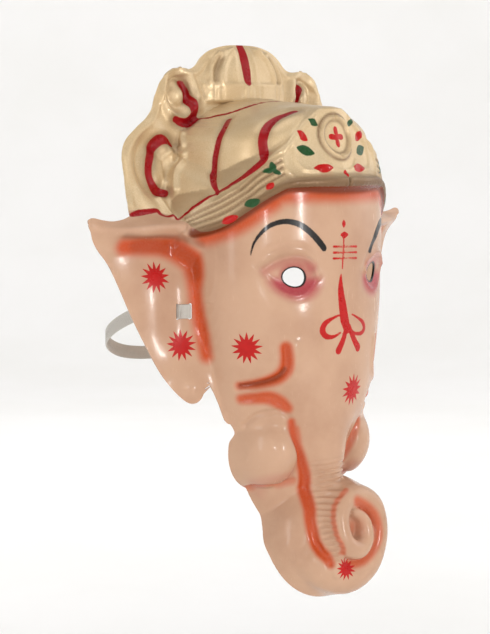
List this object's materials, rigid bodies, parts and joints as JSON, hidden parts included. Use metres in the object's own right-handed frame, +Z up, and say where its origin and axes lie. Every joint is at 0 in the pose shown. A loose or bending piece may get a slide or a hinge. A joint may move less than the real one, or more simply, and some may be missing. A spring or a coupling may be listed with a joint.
{
  "type": "elephant-headed face mask",
  "caption": "Wearable elephant-headed face mask: thin glossy shell with curled trunk, swept ears and a domed crown, held on by a flat elastic strap stapled through slits in the ears.",
  "frame": {"origin": "on the middle plane, in the plane of the grooves where the ears meet the cheeks, 3 mm below the middle of the strap slits: where the mask sits against the wearer's head", "axes": "+Z up, the mask faces -Y, +X towards the wearer's left ear"},
  "size_m": [0.2882, 0.1812, 0.3569],
  "materials": {
    "shell": "glossy moulded plastic, flesh-coloured, with pearly gold, crimson, red, green and black paint",
    "elastic": "flat woven elastic, greyish white",
    "staple": "bright wire"
  },
  "bodies": {
    "mask": {"mask_shell": "shell", "strap_loop_left": "elastic", "strap_loop_right": "elastic", "staple_left": "staple", "staple_right": "staple"},
    "strap": {"head_strap": "elastic"}
  },
  "joints": [
    {"name": "strap_swing", "type": "hinge", "parent": "mask", "child": "strap", "pos_m": [0, 0.036, 0.003], "axis": [1, 0, 0], "range_deg": [-65, 60]}
  ]
}
